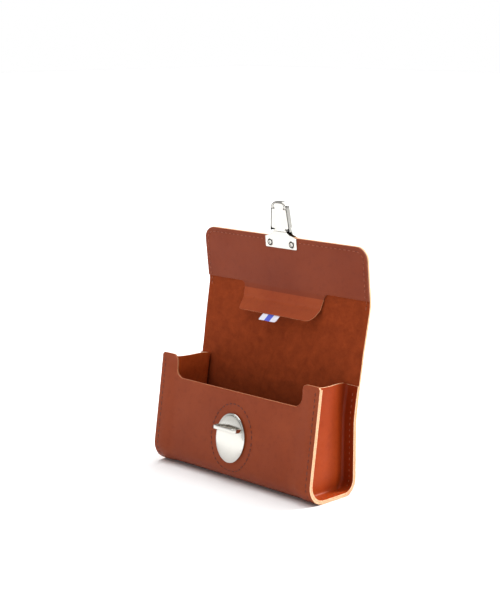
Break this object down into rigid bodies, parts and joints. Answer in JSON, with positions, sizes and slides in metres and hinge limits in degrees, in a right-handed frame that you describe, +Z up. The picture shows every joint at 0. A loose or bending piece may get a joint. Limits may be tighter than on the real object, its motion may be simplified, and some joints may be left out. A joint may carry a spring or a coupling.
{
  "type": "leather camera case",
  "caption": "Small open leather case with a fold-over flap, recessed end gussets, and a sprung metal hasp that tucks behind a bow on an oval lock plate.",
  "frame": {"origin": "middle of the flat bottom that the case stands on", "axes": "+Z up, -Y out of the front with the lock, +X to the right of someone who faces the front"},
  "size_m": [0.1782, 0.0729, 0.2205],
  "materials": {
    "strip_leather": "vegetable-tanned, waxed smooth grain outside and flesh inside, burnished edges",
    "flap_leather": "the same strip seen from its flesh side, with a fine matt nap",
    "gusset_leather": "thinner leather, moulded wet into a tray, smooth grain outwards",
    "lining_leather": "thin smooth leather, sewn on with tone-on-tone thread",
    "nickel": "polished nickel plate",
    "dull_steel": "nickel-washed steel",
    "ribbon": "woven ribbon with one wide stripe"
  },
  "bodies": {
    "case": {"main_panel": "strip_leather", "gusset_left": "gusset_leather", "gusset_right": "gusset_leather", "lock_patch": "lining_leather", "lock_plate": "nickel", "lock_bow": "nickel", "lock_back_plate": "dull_steel", "lock_rivet_upper": "dull_steel", "lock_rivet_lower": "dull_steel"},
    "flap_top": {"flap_top": "flap_leather"},
    "flap_front": {"flap_front": "strip_leather", "facing": "lining_leather", "hasp_shell": "nickel", "hasp_base": "nickel", "hasp_pin": "dull_steel", "hasp_spring": "dull_steel", "hasp_rivet_left": "nickel", "hasp_rivet_right": "nickel"},
    "tongue": {"facing_tongue": "lining_leather", "ribbon_label": "ribbon"},
    "hasp_catch": {"hasp_catch": "nickel"}
  },
  "joints": [
    {"name": "flap_back_fold", "type": "hinge", "parent": "case", "child": "flap_top", "pos_m": [0, 0.03143, 0.0968], "axis": [1, 0, 0], "range_deg": [-90, 103.3]},
    {"name": "flap_front_fold", "type": "hinge", "parent": "flap_top", "child": "flap_front", "pos_m": [0, 0.03976, 0.14935], "axis": [1, 0, 0], "range_deg": [-14.8, 62.5]},
    {"name": "tongue_lift", "type": "hinge", "parent": "flap_top", "child": "tongue", "pos_m": [0, 0.03635, 0.14766], "axis": [-1, 0, 0], "range_deg": [-5, 40], "stiffness_Nm_per_rad": 0.02},
    {"name": "hasp_press", "type": "hinge", "parent": "flap_front", "child": "hasp_catch", "pos_m": [0, 0.03338, 0.19725], "axis": [-1, 0, 0], "range_deg": [0, 5], "stiffness_Nm_per_rad": 0.3, "springref_deg": -2.29}
  ]
}
